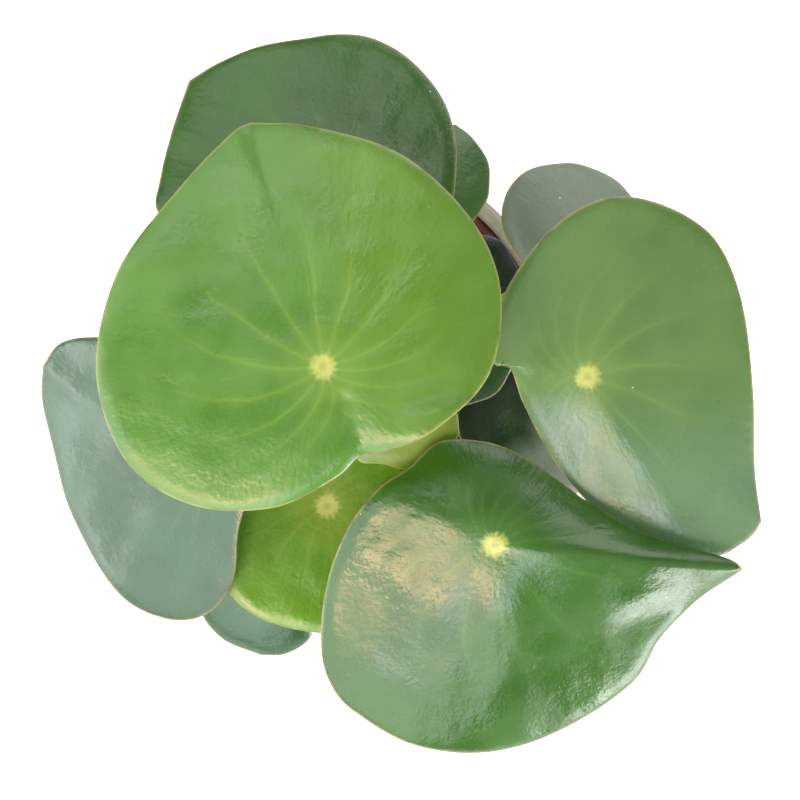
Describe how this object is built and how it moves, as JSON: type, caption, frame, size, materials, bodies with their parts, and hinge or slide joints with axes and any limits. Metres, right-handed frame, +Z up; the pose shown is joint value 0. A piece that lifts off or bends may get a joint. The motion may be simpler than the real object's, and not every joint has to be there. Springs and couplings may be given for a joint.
{
  "type": "potted house plant",
  "caption": "Round-leaved succulent house plant with glossy peltate leaves on long stalks, in a nursery pot inside a plain glazed cover pot that stands on a flat base.",
  "frame": {"origin": "middle of the cover pot's flat underside, at the height of the surface it stands on", "axes": "+Z up along the pot's axis; +Y is the top of the picture and +X its right, so the picture looks along -Z"},
  "size_m": [0.2005, 0.1992, 0.242],
  "materials": {
    "cover_glaze": "gloss",
    "nursery_plastic": "satin",
    "potting_soil": "matte",
    "stem_skin": "satin",
    "petiole_skin": "satin",
    "leaf_bright": "satin",
    "leaf_deep": "satin",
    "leaf_mid": "satin",
    "leaf_blue": "satin",
    "leaf_young": "satin"
  },
  "bodies": {
    "root": {"cover_pot": "cover_glaze", "nursery_pot": "nursery_plastic", "soil": "potting_soil", "stem": "stem_skin", "leaf_01_blade": "leaf_bright", "leaf_01_petiole": "petiole_skin", "leaf_02_blade": "leaf_deep", "leaf_02_petiole": "petiole_skin", "leaf_03_blade": "leaf_mid", "leaf_03_petiole": "petiole_skin", "leaf_04_blade": "leaf_blue", "leaf_04_petiole": "petiole_skin", "leaf_05_blade": "leaf_deep", "leaf_05_petiole": "petiole_skin", "leaf_06_blade": "leaf_deep", "leaf_06_petiole": "petiole_skin", "leaf_07_blade": "leaf_blue", "leaf_07_petiole": "petiole_skin", "leaf_08_blade": "leaf_young", "leaf_08_petiole": "petiole_skin", "leaf_09_blade": "leaf_young", "leaf_09_petiole": "petiole_skin", "leaf_10_blade": "leaf_blue", "leaf_10_petiole": "petiole_skin", "leaf_11_blade": "leaf_deep", "leaf_11_petiole": "petiole_skin", "leaf_12_blade": "leaf_blue", "leaf_12_petiole": "petiole_skin", "leaf_13_blade": "leaf_deep", "leaf_13_petiole": "petiole_skin", "leaf_14_blade": "leaf_deep", "leaf_14_petiole": "petiole_skin", "leaf_15_blade": "leaf_mid", "leaf_15_petiole": "petiole_skin", "leaf_16_blade": "leaf_mid", "leaf_16_petiole": "petiole_skin", "leaf_17_blade": "leaf_deep", "leaf_17_petiole": "petiole_skin", "leaf_18_blade": "leaf_deep", "leaf_18_petiole": "petiole_skin"}
  },
  "joints": []
}
